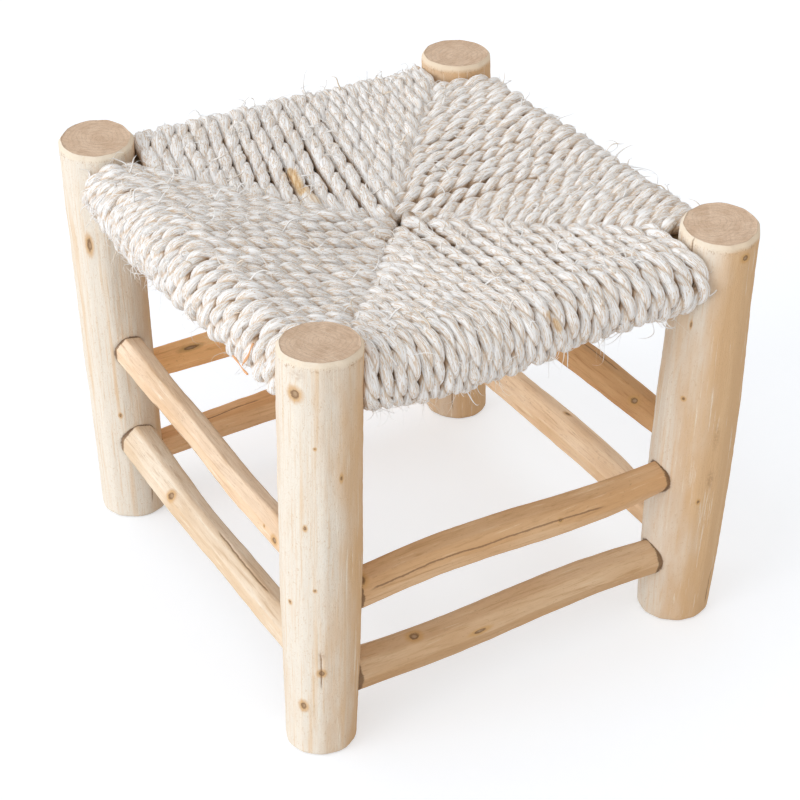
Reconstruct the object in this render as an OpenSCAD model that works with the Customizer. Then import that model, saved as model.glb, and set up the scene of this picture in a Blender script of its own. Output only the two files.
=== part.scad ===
// Low four-legged stool: whittled log posts, bent branch stretchers and a
// seat of twisted palm rope, woven around four round seat rails.
// Millimetres, +Z up, floor at z = 0, origin under the middle of the stool.
// +X is the right side and -Y is the front.

/* [Frame] */
// Distance between the left and right post axes at the seat rails
frame_w = 296.5; // [240:0.5:420]
// Distance between the front and back post axes at the seat rails
frame_d = 321.5; // [240:0.5:420]
// Height of the posts at their axes
post_h = 309.5; // [280:0.5:460]
// Depth of the seat rail axes below the post tops
rail_drop = 30; // [26:0.5:45]

/* [Posts] */
// Diameter of the posts from the seat rails up
post_d = 52.5; // [46:0.5:64]
// Extra diameter half way up: front left, front right, back right, back left
post_belly = [0, 4.5, 0, -1]; // [-4:0.5:8]
// Diameter lost at the foot: front left, front right, back right, back left
foot_taper = [5, 2.5, 4, 3.5]; // [0:0.5:8]
// How far each foot stands inwards along X, in the same order
foot_in_x = [0.5, 6.5, 0, 7]; // [0:0.5:12]
// How far each foot stands inwards along Y, in the same order
foot_in_y = [8, 5.5, 10.5, 3]; // [0:0.5:12]
// Width of the worn bevel around the feet
foot_bevel = 3; // [1:0.5:8]
// Width of the bevel around the sawn post tops
top_bevel = 2.5; // [1:0.25:5]
// Slope of the sawn tops in degrees, in the same order
top_slope = [0, 7, 1, 6]; // [0:0.5:10]

/* [Round tenons] */
// Diameter of the round tenon on both ends of every rail and stretcher
tenon_d = 20; // [14:0.5:22]
// Radial clearance of a tenon in its mortise
tenon_gap = 0.2; // [0.1:0.05:0.5]
// Free space at the blind end of a mortise
tenon_end_gap = 1; // [0.5:0.25:3]
// Gap between a shoulder and the post that it meets
shoulder_gap = 0.3; // [0.1:0.1:1]

/* [Front stretchers] */
// Heights of the upper one at its left and right post
front_upper_h = [113.5, 120]; // [90:0.5:180]
// Its diameters at the left end, in the middle and at the right end
front_upper_d = [25.5, 26.5, 21.5]; // [20.5:0.5:32]
// Its arch and its S-bend
front_upper_bend = [2, 2.5]; // [-8:0.5:8]
// Heights of the lower one at its left and right post
front_lower_h = [46.5, 50.5]; // [30:0.5:80]
// Its diameters at the left end, in the middle and at the right end
front_lower_d = [28, 26.5, 24]; // [20.5:0.5:32]
// Its arch and its S-bend
front_lower_bend = [0.5, -2]; // [-8:0.5:8]

/* [Right stretchers] */
// Heights of the upper one at its front and back post
right_upper_h = [137, 135]; // [90:0.5:180]
// Its diameters at the front end, in the middle and at the back end
right_upper_d = [20.5, 25, 23]; // [20.5:0.5:32]
// Its arch and its S-bend
right_upper_bend = [-1, 1]; // [-8:0.5:8]
// Heights of the lower one at its front and back post
right_lower_h = [59, 60.5]; // [30:0.5:80]
// Its diameters at the front end, in the middle and at the back end
right_lower_d = [22.5, 26.5, 25]; // [20.5:0.5:32]
// Its arch and its S-bend
right_lower_bend = [4, 0.5]; // [-8:0.5:8]

/* [Back stretchers] */
// Heights of the upper one at its left and right post
back_upper_h = [117, 120.5]; // [90:0.5:180]
// Its diameters at the left end, in the middle and at the right end
back_upper_d = [21.5, 24, 22]; // [20.5:0.5:32]
// Its arch and its S-bend
back_upper_bend = [1, -0.5]; // [-8:0.5:8]
// Heights of the lower one at its left and right post
back_lower_h = [44.5, 48.5]; // [30:0.5:80]
// Its diameters at the left end, in the middle and at the right end
back_lower_d = [22, 24, 22.5]; // [20.5:0.5:32]
// Its arch and its S-bend
back_lower_bend = [5, 0]; // [-8:0.5:8]

/* [Left stretchers] */
// Heights of the upper one at its front and back post
left_upper_h = [133.5, 149.5]; // [90:0.5:180]
// Its diameters at the front end, in the middle and at the back end
left_upper_d = [20.5, 21.5, 23]; // [20.5:0.5:32]
// Its arch and its S-bend
left_upper_bend = [-2, -0.5]; // [-8:0.5:8]
// Heights of the lower one at its front and back post
left_lower_h = [60.5, 69.5]; // [30:0.5:80]
// Its diameters at the front end, in the middle and at the back end
left_lower_d = [25.5, 24.5, 28]; // [20.5:0.5:32]
// Its arch and its S-bend
left_lower_bend = [-4, 0.5]; // [-8:0.5:8]

/* [Seat] */
// Diameter of the hidden round seat rails
rail_d = 26; // [22.5:0.5:32]
// Diameter of the two-strand seat rope
rope_d = 8.9; // [7:0.1:12]
// Gap between neighbouring ropes, and between the rope and what it lies on
rope_gap = 0.3; // [0.2:0.05:0.6]
// Room between a post and the first turn of rope beside it
post_room = 1.2; // [0.8:0.1:3]

/* [Hidden] */

$fn = 48;
slack = 5;                      // how far a cutting shape passes the face that it cuts
facets = 12;                    // whittled flats around a stretcher
rings = 12;                     // steps along a stretcher
wood_pale = "#e6cfa4";
wood_warm = "#d2a873";
wood_rail = "#b98f5c";
rope_white = "#e9e2d6";
rope_inner = "#cfc2ab";

// Posts, in the order of the lists above
FL = 0;
FR = 1;
BR = 2;
BL = 3;
post_sign = [[-1, -1], [1, -1], [1, 1], [-1, 1]];
post_r = post_d / 2;
seat_h = post_h - rail_drop;

// Point of a post's axis at height z: exact place at the rails, leaning below
function lean_in(p) = [post_sign[p].x * foot_in_x[p], post_sign[p].y * foot_in_y[p]];
function post_x(p, z) = post_sign[p].x * frame_w / 2 - lean_in(p).x * (seat_h - z) / seat_h;
function post_y(p, z) = post_sign[p].y * frame_d / 2 - lean_in(p).y * (seat_h - z) / seat_h;
function post_axis(p, z) = [post_x(p, z), post_y(p, z), z];

// Radius of a post at height z: constant at the seat, swelling and tapering below it
belly_top = seat_h - rail_d;
taper_top = post_h / 2;
function belly(p, z) = z >= belly_top || z <= 0 ? 0 : post_belly[p] * pow(sin(180 * z / belly_top), 0.7);
function taper(p, z) = z >= taper_top ? 0 : foot_taper[p] * pow(1 - max(z, 0) / taper_top, 1.5);
function shaft_r(p, z) = post_r + (belly(p, z) - taper(p, z)) / 2;

// Every crossbar runs between two posts: [post, post, heights, diameters, bend]
front_upper = [FL, FR, front_upper_h, front_upper_d, front_upper_bend];
front_lower = [FL, FR, front_lower_h, front_lower_d, front_lower_bend];
right_upper = [FR, BR, right_upper_h, right_upper_d, right_upper_bend];
right_lower = [FR, BR, right_lower_h, right_lower_d, right_lower_bend];
back_upper = [BL, BR, back_upper_h, back_upper_d, back_upper_bend];
back_lower = [BL, BR, back_lower_h, back_lower_d, back_lower_bend];
left_upper = [FL, BL, left_upper_h, left_upper_d, left_upper_bend];
left_lower = [FL, BL, left_lower_h, left_lower_d, left_lower_bend];
rail_h = [seat_h, seat_h];
rail_ds = [rail_d, rail_d, rail_d];
rail_front = [FL, FR, rail_h, rail_ds];
rail_right = [FR, BR, rail_h, rail_ds];
rail_back = [BL, BR, rail_h, rail_ds];
rail_left = [FL, BL, rail_h, rail_ds];
crossbars = [
    front_upper, front_lower, right_upper, right_lower,
    back_upper, back_lower, left_upper, left_lower,
    rail_front, rail_right, rail_back, rail_left
];
// A blind mortise stops this far from the post's axis, so crossing ones never meet
core = tenon_d / 2 + 0.5;

function bar_start(bar) = post_axis(bar[0], bar[2][0]);
function bar_end(bar) = post_axis(bar[1], bar[2][1]);
function bar_length(bar) = norm(bar_end(bar) - bar_start(bar));
function unit(v) = v / norm(v);
// Distance from post p's axis to a shoulder of radius r, clear of the post's swell and lean
function shoulder(bar, p, z, r) =
    let (lean = abs(unit(bar_end(bar) - bar_start(bar)) * unit(post_axis(p, post_h) - post_axis(p, 0))))
    max([for (dz = [-r, 0, r]) shaft_r(p, z + dz)]) + r * lean + shoulder_gap;
// Places along a crossbar at which its body begins and ends
function body_start(bar) = shoulder(bar, bar[0], bar[2][0], bar[3][0] / 2);
function body_end(bar) = bar_length(bar) - shoulder(bar, bar[1], bar[2][1], bar[3][2] / 2);

// ---- Wood ----

// Places its children on a crossbar's line: +X along it, from the first post's axis
module along(bar) {
    v = bar_end(bar) - bar_start(bar);
    translate(bar_start(bar))
        rotate([0, -asin(v.z / norm(v)), atan2(v.y, v.x)])
            children();
}

// A round peg or hole along +X, from x0 to x1
module peg(r, x0, x1) {
    translate([x0, 0, 0])
        rotate([0, 90, 0])
            cylinder(h = x1 - x0, r = r);
}

// Both tenons of a crossbar, sunk into its body by slack
module tenons(bar) {
    inner = core + tenon_end_gap;
    peg(tenon_d / 2, inner, body_start(bar) + slack);
    peg(tenon_d / 2, body_end(bar) - slack, bar_length(bar) - inner);
}

// The blind mortises of a crossbar in post p
module mortises(bar, p) {
    r = tenon_d / 2 + tenon_gap;
    along(bar) {
        if (bar[0] == p)
            peg(r, core, shaft_r(p, bar[2][0]) + slack);
        if (bar[1] == p)
            peg(r, bar_length(bar) - shaft_r(p, bar[2][1]) - slack, bar_length(bar) - core);
    }
}

// Half outline of a post's shaft, longer than the post at both ends
module shaft_outline(p) {
    levels = 9;
    side = [for (i = [0:levels]) [shaft_r(p, belly_top * i / levels), belly_top * i / levels]];
    polygon(concat(
        [[0, -slack], [shaft_r(p, 0), -slack]], side, [[post_r, post_h + slack], [0, post_h + slack]]
    ));
}

// Room below a flat end of radius r with a bevel all around it
module bevelled_end(r, bevel) {
    wide = post_d;
    flat_r = r - bevel;
    rotate_extrude()
        polygon([
            [0, -2 * post_h], [wide, -2 * post_h], [wide, flat_r - wide], [flat_r, 0], [0, 0]
        ]);
}

// A leaning log post with its mortises, sawn level at the floor
module post(p) {
    foot = post_axis(p, 0);
    top = post_axis(p, post_h);
    v = top - foot;
    color(wood_pale)
        difference() {
            intersection() {
                translate(foot)
                    rotate([0, acos(v.z / norm(v)), atan2(v.y, v.x)])
                        rotate_extrude()
                            shaft_outline(p);
                translate(top)
                    rotate(a = top_slope[p], v = [1, -0.6, 0])
                        bevelled_end(post_r, top_bevel);
                translate(foot)
                    rotate([180, 0, 0])
                        bevelled_end(shaft_r(p, 0), foot_bevel);
            }
            for (bar = crossbars)
                if (bar[0] == p || bar[1] == p)
                    mortises(bar, p);
        }
}

// Diameter of a stretcher at t = 0 to 1, through its three given diameters
function bar_d(d, t) = t < 0.5
    ? d[0] + (d[1] - d[0]) * sin(180 * t)
    : d[2] + (d[1] - d[2]) * sin(180 * t);
// Rise of its middle line at t, from its arch and its S-bend
function bar_rise(bend, t) = bend[0] * sin(180 * t) + bend[1] * sin(360 * t);

// A bent, whittled branch with flats, between the shoulders of a crossbar
module branch(bar) {
    d = bar[3];
    bend = bar[4];
    x0 = body_start(bar);
    x1 = body_end(bar);
    skin = [for (i = [0:rings]) for (k = [0:facets - 1])
        let (t = i / rings, a = 360 * (k + 0.5) / facets, r = bar_d(d, t) / 2)
        [x0 + (x1 - x0) * t, r * cos(a), r * sin(a) + bar_rise(bend, t)]
    ];
    flats = [for (i = [0:rings - 1]) for (k = [0:facets - 1])
        let (a = i * facets + k, b = i * facets + (k + 1) % facets)
        each [[a, a + facets, b], [b, a + facets, b + facets]]
    ];
    first_end = [for (k = [0:facets - 1]) k];
    last_end = [for (k = [0:facets - 1]) (rings + 1) * facets - 1 - k];
    polyhedron(skin, concat(flats, [first_end, last_end]));
}

module stretcher(bar) {
    color(wood_warm)
        along(bar) {
            branch(bar);
            tenons(bar);
        }
}

module seat_rail(bar) {
    color(wood_rail)
        along(bar) {
            peg(rail_d / 2, body_start(bar), body_end(bar));
            tenons(bar);
        }
}

// ---- Rope seat ----
// The rope goes over a rail, back under it, up through the middle, over the next
// rail and under it, at each corner of the frame in turn. After every round the
// turns lie one rope further from the posts, so four panels of parallel ropes meet
// on the diagonals. Between the panels above and below, the runs from corner to
// corner lie as nested rectangles, and in the middle the three layers touch.

// Sides of the frame, by the quarter turn that faces outwards
RIGHT = 0;
BACK = 1;
LEFT = 2;
FRONT = 3;
rope_r = rope_d / 2;
swell = rope_gap / 2;                         // how much thicker the rope is where it bends
sunk = 0.4;                                   // how far a straight stretch enters a bend
turn_r = rail_d / 2 + rope_gap + rope_r;      // middle of the rope around a rail
elbow_r = rope_r + rope_gap;                  // sharpest bend of the rope
layer = rope_d + rope_gap;                    // from one layer of rope to the next
// Distance from the middle of the stool to the rail of side s, and to its outermost rope
function rail_at(s) = (s % 2 == 0 ? frame_w : frame_d) / 2;
function reach(s) = rail_at(s) - post_r - post_room;
rounds = floor(min(reach(RIGHT), reach(FRONT)) / layer);
// Place of round i, measured from the middle towards side s
function place(s, i) = reach(s) * (1 - (i + 0.5) / rounds);
// The top ropes slope from the rail down to the pile of three layers in the middle
function slope(s) = atan((2 * turn_r - 2 * layer) / rail_at(s));
// Height of a top rope's middle above the rail axis, at distance x from the stool's middle
function top_at(s, x) = turn_r / cos(slope(s)) - (rail_at(s) - x) * tan(slope(s));

// Puts its children in the frame of side s, at its rail's height: +X outwards
module facing(s) {
    translate([0, 0, seat_h])
        rotate([0, 0, 90 * s])
            children();
}

// Rope bent in the XZ plane around [x, z], from angle a0 to a1
module bent(x, z, r, a0, a1) {
    translate([x, 0, z])
        rotate([90, 0, 0])
            rotate([0, 0, a0])
                rotate_extrude(angle = a1 - a0)
                    translate([r, 0])
                        circle(r = rope_r + swell);
}

// Straight rope in the XZ plane from a bend at [x, z] to another bend, or to a cut end
module taut(a, b, bend_at_b = false) {
    v = b - a;
    h = norm(v) + sunk + (bend_at_b ? sunk : 0);
    translate([a.x, 0, a.y])
        rotate([0, 90 - atan2(v.y, v.x), 0])
            translate([0, 0, -sunk])
                cylinder(h = h, r = rope_r);
}

// One turn over the rail of side s, from x_top above to x_bottom below. Its upper or its
// lower end goes on into a bend, and the other one stops at the rope that it meets.
module turn(s, x_top, x_bottom, bend_above) {
    e = rail_at(s);
    a = slope(s);
    taut([e - turn_r * sin(a), turn_r * cos(a)], [x_top, top_at(s, x_top)], bend_above);
    bent(e, 0, turn_r, -90, 90 + a);
    taut([e, -turn_r], [x_bottom, -turn_r], !bend_above);
}

// The rope of round i at the corner of side a and side b: over a, under it, up
// through the middle, over b and under it. The turn over b lies across the end of a's.
module corner_turns(a, b, i) {
    butt = rope_r + swell + rope_gap;
    xa = place(a, i);
    xb = place(b, i);
    side_a = (b - a + 4) % 4 == 1 ? 1 : -1;
    knee = xb + elbow_r;
    knee_z = top_at(b, knee) - elbow_r / cos(slope(b));
    knee_a = 90 + slope(b);
    top_end = [knee - elbow_r * sin(slope(b)), knee_z + elbow_r * cos(slope(b))];
    facing(a)
        translate([0, side_a * xb, 0]) {
            turn(a, xa + butt, xa + elbow_r, false);
            bent(xa + elbow_r, elbow_r - turn_r, elbow_r, 180, 270);
            taut([xa, elbow_r - turn_r], [xa, knee_z], true);
        }
    facing(b)
        translate([0, -side_a * xa, 0]) {
            turn(b, top_end.x, xb + butt, true);
            bent(knee, knee_z, elbow_r, knee_a, 180);
        }
}

module corner_weave(a, b) {
    color(rope_white)
        for (i = [0:rounds - 1])
            corner_turns(a, b, i);
}

// The runs of all rounds beside side s and the side opposite, below its top ropes
module inner_runs(s) {
    across = (s + 1) % 4;
    color(rope_inner)
        for (i = [0:rounds - 1], side = [s, s + 2]) {
            half = place(across, i) - rope_r - rope_gap;
            z = (top_at(s, place(s, i)) - turn_r) / 2;
            if (half > rope_r)
                facing(side)
                    translate([place(s, i), -half, z])
                        rotate([-90, 0, 0])
                            cylinder(h = 2 * half, r = rope_r);
        }
}

// ---- Nodes ----

post(FL);  // post_front_left
post(FR);  // post_front_right
post(BR);  // post_back_right
post(BL);  // post_back_left
stretcher(front_upper);  // stretcher_front_upper
stretcher(front_lower);  // stretcher_front_lower
stretcher(right_upper);  // stretcher_right_upper
stretcher(right_lower);  // stretcher_right_lower
stretcher(back_upper);  // stretcher_back_upper
stretcher(back_lower);  // stretcher_back_lower
stretcher(left_upper);  // stretcher_left_upper
stretcher(left_lower);  // stretcher_left_lower
seat_rail(rail_front);  // seat_rail_front
seat_rail(rail_right);  // seat_rail_right
seat_rail(rail_back);  // seat_rail_back
seat_rail(rail_left);  // seat_rail_left
corner_weave(FRONT, LEFT);  // weave_front_left
corner_weave(RIGHT, FRONT);  // weave_front_right
corner_weave(BACK, RIGHT);  // weave_back_right
corner_weave(LEFT, BACK);  // weave_back_left
inner_runs(FRONT);  // weave_runs_across
inner_runs(RIGHT);  // weave_runs_lengthwise
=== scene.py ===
"""Looks of a low stool: whittled log posts, branch stretchers and a seat of two-strand rope.

Lengths are millimetres, as in part.scad, and turn into metres where a mesh is made.
"""
import math
import bpy
import numpy as np
from mathutils import Matrix, Vector


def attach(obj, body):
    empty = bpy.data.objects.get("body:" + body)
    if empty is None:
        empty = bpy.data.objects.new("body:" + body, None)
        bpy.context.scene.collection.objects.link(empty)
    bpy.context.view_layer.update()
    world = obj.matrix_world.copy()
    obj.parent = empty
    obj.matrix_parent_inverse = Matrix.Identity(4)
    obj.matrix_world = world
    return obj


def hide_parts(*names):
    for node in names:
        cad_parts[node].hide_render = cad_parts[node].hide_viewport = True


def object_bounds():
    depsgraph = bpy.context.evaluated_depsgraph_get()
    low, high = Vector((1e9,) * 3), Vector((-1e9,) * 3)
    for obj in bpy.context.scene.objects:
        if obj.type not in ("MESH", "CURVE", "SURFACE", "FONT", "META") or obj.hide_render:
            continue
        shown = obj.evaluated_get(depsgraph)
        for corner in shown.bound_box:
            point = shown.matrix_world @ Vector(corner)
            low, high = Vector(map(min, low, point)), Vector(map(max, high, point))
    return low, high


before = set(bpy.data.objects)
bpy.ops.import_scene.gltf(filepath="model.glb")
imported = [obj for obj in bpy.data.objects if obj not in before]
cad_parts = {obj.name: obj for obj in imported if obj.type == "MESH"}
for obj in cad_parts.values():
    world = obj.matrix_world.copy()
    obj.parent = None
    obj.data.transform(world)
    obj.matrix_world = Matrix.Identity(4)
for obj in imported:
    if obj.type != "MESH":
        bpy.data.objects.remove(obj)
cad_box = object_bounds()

MM = 0.001
TAU = 2 * math.pi
draw = np.random.default_rng(4127)

# ---- sizes, as in part.scad

FRAME_W, FRAME_D = 296.5, 321.5
POST_H, RAIL_DROP, POST_D = 309.5, 30, 52.5
POST_NAMES = ["front_left", "front_right", "back_right", "back_left"]
FL, FR, BR, BL = range(4)
POST_SIGN = [(-1, -1), (1, -1), (1, 1), (-1, 1)]
POST_BELLY = [0, 4.5, 0, -1]
FOOT_TAPER = [5, 2.5, 4, 3.5]
FOOT_IN = [(0.5, 8), (6.5, 5.5), (0, 10.5), (7, 3)]
FOOT_BEVEL, TOP_BEVEL = 3, 2.5
TOP_SLOPE = [0, 7, 1, 6]
TOP_UPHILL = (0.5145, 0.8575)
RAIL_D, ROPE_D, ROPE_GAP, POST_ROOM = 26, 8.9, 0.3, 1.2

# Every stretcher: its posts, heights there, diameters at start, middle and end, arch and S-bend
STRETCHERS = {
    "front_upper": (FL, FR, (113.5, 120), (25.5, 26.5, 21.5), (2, 2.5)),
    "front_lower": (FL, FR, (46.5, 50.5), (28, 26.5, 24), (0.5, -2)),
    "right_upper": (FR, BR, (137, 135), (20.5, 25, 23), (-1, 1)),
    "right_lower": (FR, BR, (59, 60.5), (22.5, 26.5, 25), (4, 0.5)),
    "back_upper": (BL, BR, (117, 120.5), (21.5, 24, 22), (1, -0.5)),
    "back_lower": (BL, BR, (44.5, 48.5), (22, 24, 22.5), (5, 0)),
    "left_upper": (FL, BL, (133.5, 149.5), (20.5, 21.5, 23), (-2, -0.5)),
    "left_lower": (FL, BL, (60.5, 69.5), (25.5, 24.5, 28), (-4, 0.5)),
}

SEAT_H = POST_H - RAIL_DROP
POST_R = POST_D / 2
ROPE_R = ROPE_D / 2
TURN_R = RAIL_D / 2 + ROPE_GAP + ROPE_R  # middle of the rope around a rail
ELBOW_R = ROPE_R + ROPE_GAP  # sharpest bend of the rope
LAYER = ROPE_D + ROPE_GAP
RIGHT, BACK, LEFT, FRONT = range(4)  # sides, by the quarter turn that faces outwards
SIDE_NAMES = ["right", "back", "left", "front"]
POST_SPOTS = np.array(POST_SIGN) * (FRAME_W / 2, FRAME_D / 2)

# ---- numbers and noise


def smooth(x, low, high):
    """Soft step from 0 at low to 1 at high."""
    t = np.clip((x - low) / (high - low), 0, 1)
    return t * t * (3 - 2 * t)


def lattice(x, y, z, seed):
    """Repeatable random values from 0 to 1 at whole-number points."""
    mask = 0xFFFFFFFF
    n = (x * 374761393 + y * 668265263 + z * 974711 + seed * 1013904223) & mask
    n = ((n ^ (n >> 13)) * 1274126177) & mask
    return ((n ^ (n >> 16)) & mask) / mask


def noise(x, y, z, seed):
    """Smooth noise from -1 to 1, with bumps one unit across."""
    x, y, z = np.broadcast_arrays(*(np.asarray(v, dtype=float) for v in (x, y, z)))
    cell = [np.floor(v).astype(np.int64) for v in (x, y, z)]
    f = [smooth(v - c, 0, 1) for v, c in zip((x, y, z), cell)]
    total = np.zeros(x.shape)
    for corner in np.ndindex(2, 2, 2):
        weight = np.ones(x.shape)
        for step, part in zip(corner, f):
            weight = weight * (part if step else 1 - part)
        total += weight * lattice(*(c + step for c, step in zip(cell, corner)), seed)
    return 2 * total - 1


def wander(x, size, seed):
    """Smooth noise from -1 to 1 along a line, with bumps of this size."""
    return noise(np.asarray(x) / size, 0.5, 0.5, seed)


def polar(radius, angle):
    """Both coordinates of points at a distance and an angle."""
    return radius * np.cos(angle), radius * np.sin(angle)


def unit(vectors):
    """Vectors of the same directions, one long."""
    return vectors / np.linalg.norm(vectors, axis=-1, keepdims=True)


# ---- meshes


class Skin:
    """Closed tubes of points, gathered into one mesh with values for its material."""

    def __init__(self):
        self.points, self.quads, self.fans, self.values = [], [], [], []
        self.count = 0

    def add(self, rings, **values):
        """Rings of points (along, around, 3), closed by a fan at both ends."""
        n, m = rings.shape[:2]
        i, j = np.meshgrid(np.arange(n - 1), np.arange(m), indexing="ij")
        k = (j + 1) % m
        quads = np.stack([i * m + j, i * m + k, (i + 1) * m + k, (i + 1) * m + j], -1)
        j, k = j[0], k[0]
        last = (n - 1) * m
        fans = [np.stack([np.full(m, n * m), k, j], -1),
                np.stack([np.full(m, n * m + 1), last + j, last + k], -1)]
        self.points.append(with_ends(rings))
        self.quads.append(quads.reshape(-1, 4) + self.count)
        self.fans.append(np.concatenate(fans) + self.count)
        self.values.append({key: with_ends(value) for key, value in values.items()})
        self.count += n * m + 2

    def build(self, name, material, slot, *nodes):
        """Makes the object, which rides on the stool and stands for the given CAD nodes."""
        points, quads, fans = (np.concatenate(v) for v in (self.points, self.quads, self.fans))
        corners = np.concatenate([quads.ravel(), fans.ravel()])
        starts = np.concatenate([4 * np.arange(len(quads)), 4 * len(quads) + 3 * np.arange(len(fans))])
        mesh = bpy.data.meshes.new(name)
        mesh.vertices.add(len(points))
        mesh.vertices.foreach_set("co", (points * MM).astype(np.float32).ravel())
        mesh.loops.add(len(corners))
        mesh.loops.foreach_set("vertex_index", corners.astype(np.int32))
        mesh.polygons.add(len(starts))
        mesh.polygons.foreach_set("loop_start", starts.astype(np.int32))
        mesh.update(calc_edges=True)
        mesh.validate()
        mesh.shade_smooth()
        for key in self.values[0]:
            value = np.concatenate([v[key] for v in self.values]).astype(np.float32)
            kind, field = ("FLOAT_VECTOR", "vector") if value.ndim == 2 else ("FLOAT", "value")
            mesh.attributes.new(key, kind, "POINT").data.foreach_set(field, value.ravel())
        mesh.materials.append(material)
        piece = add_to_scene(name, mesh)
        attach(piece, "root")
        if nodes:
            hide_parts(*nodes)


def add_to_scene(name, data):
    """A new object in the scene."""
    thing = bpy.data.objects.new(name, data)
    bpy.context.scene.collection.objects.link(thing)
    return thing


def with_ends(rings):
    """The values of all rings in one list, followed by the middles of the first and the last."""
    flat = rings.reshape((-1,) + rings.shape[2:])
    return np.concatenate([flat, rings[[0, -1]].mean(axis=1)])


# ---- materials


class Nodes:
    """The nodes of a material or a world. Each call adds one and returns its output socket."""

    def __init__(self, tree):
        self.tree = tree

    def node(self, kind, inputs, output=0, **settings):
        node = self.tree.nodes.new("ShaderNode" + kind)
        for key, value in settings.items():
            setattr(node, key, value)
        for key, value in inputs.items():
            if isinstance(value, bpy.types.NodeSocket):
                self.tree.links.new(value, node.inputs[key])
            else:
                node.inputs[key].default_value = value
        return node.outputs[output]

    def math(self, operation, a, b=0.0):
        return self.node("Math", {0: a, 1: b}, operation=operation)

    def times(self, a, b):
        return self.math("MULTIPLY", a, b)

    def plus(self, first, *others):
        for other in others:
            first = self.math("ADD", first, other)
        return first

    def mix(self, factor, a, b, blend="MIX"):
        inputs = {0: factor, 6: colour4(a), 7: colour4(b)}
        return self.node("Mix", inputs, 2, data_type="RGBA", blend_type=blend)


class Finish(Nodes):
    """A material with one surface, painted in layers."""

    def __init__(self, name, roughness, specular):
        self.material = bpy.data.materials.new(name)
        self.material.use_nodes = True
        super().__init__(self.material.node_tree)
        self.surface = self.tree.nodes["Principled BSDF"]
        self.surface.inputs["Roughness"].default_value = roughness
        self.surface.inputs["Specular IOR Level"].default_value = specular

    def value(self, name):
        return self.node("Attribute", {}, "Fac", attribute_name=name)

    def vector(self, name):
        return self.node("Attribute", {}, "Vector", attribute_name=name)

    def scaled(self, vector, size):
        """Coordinates in which a feature of the given size (x, y, z) is one unit across."""
        return self.node("VectorMath", {0: vector, 1: size}, operation="DIVIDE")

    def noise(self, vector, size, detail=2.0, roughness=0.5, distortion=0.0):
        inputs = {"Vector": self.scaled(vector, size), "Scale": 1.0, "Detail": detail,
                  "Roughness": roughness, "Distortion": distortion}
        return self.node("TexNoise", inputs, "Fac")

    def sway(self, noise, size):
        """A noise made to swing about 0, by this much from end to end."""
        return self.times(self.math("SUBTRACT", noise, 0.5), size)

    def off_middle(self, noise):
        """How far a noise is from its middle value: 0 along thin winding lines."""
        return self.math("ABSOLUTE", self.math("SUBTRACT", noise, 0.5))

    def step(self, value, low, high):
        """Soft step from 0 at low to 1 at high, or down again where low is above high."""
        if low > high:
            return self.math("SUBTRACT", 1.0, self.step(value, high, low))
        inputs = {"Value": value, "From Min": low, "From Max": high}
        return self.node("MapRange", inputs, interpolation_type="SMOOTHSTEP")

    def over(self, colour, paint, cover, strength=1.0):
        """The colour with a paint laid over it, where cover is 1 and as strongly as given."""
        return self.mix(cover if strength == 1.0 else self.times(cover, strength), colour, paint)

    def layers(self, colour, *layers):
        """Lays paints over a colour, each where a value passes from low to high."""
        for paint, value, low, high, strength in layers:
            colour = self.over(colour, paint, self.step(value, low, high), strength)
        return colour

    def bump(self, height, depth):
        return self.node("Bump", {"Height": height, "Distance": depth * MM, "Strength": 1.0})

    def paint(self, colour, normal):
        self.tree.links.new(colour, self.surface.inputs["Base Color"])
        self.tree.links.new(normal, self.surface.inputs["Normal"])
        return self.material


def colour4(value):
    return (*value, 1.0) if isinstance(value, tuple) else value


# The first two log colours are painted shade and painted light: a darker tan for a post's shaded side,
# a pale one for its lit side
LOG_SHADED_TAN, LOG_LIT, LOG_BAND = (0.675, 0.445, 0.25), (0.797, 0.735, 0.643), (0.74, 0.52, 0.31)
LOG_STREAK, LOG_PALE_STREAK = (0.70, 0.49, 0.29), (0.855, 0.785, 0.665)
LOG_DASH, LOG_FLECK, LOG_FINE = (0.60, 0.38, 0.20), (0.58, 0.39, 0.22), (0.66, 0.47, 0.29)
LOG_EDGE, LOG_SPECK = (0.84, 0.73, 0.58), (0.46, 0.30, 0.18)
SAWN_PALE, SAWN_DARK, SAWN_LIT = (0.755, 0.57, 0.42), (0.66, 0.475, 0.335), (0.76, 0.63, 0.51)
SAWN_RING, SAWN_SCRATCH, SAWN_PORE = (0.50, 0.35, 0.24), (0.47, 0.33, 0.23), (0.42, 0.29, 0.19)
RING_WIDTH = 3.3  # of the year rings


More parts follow.
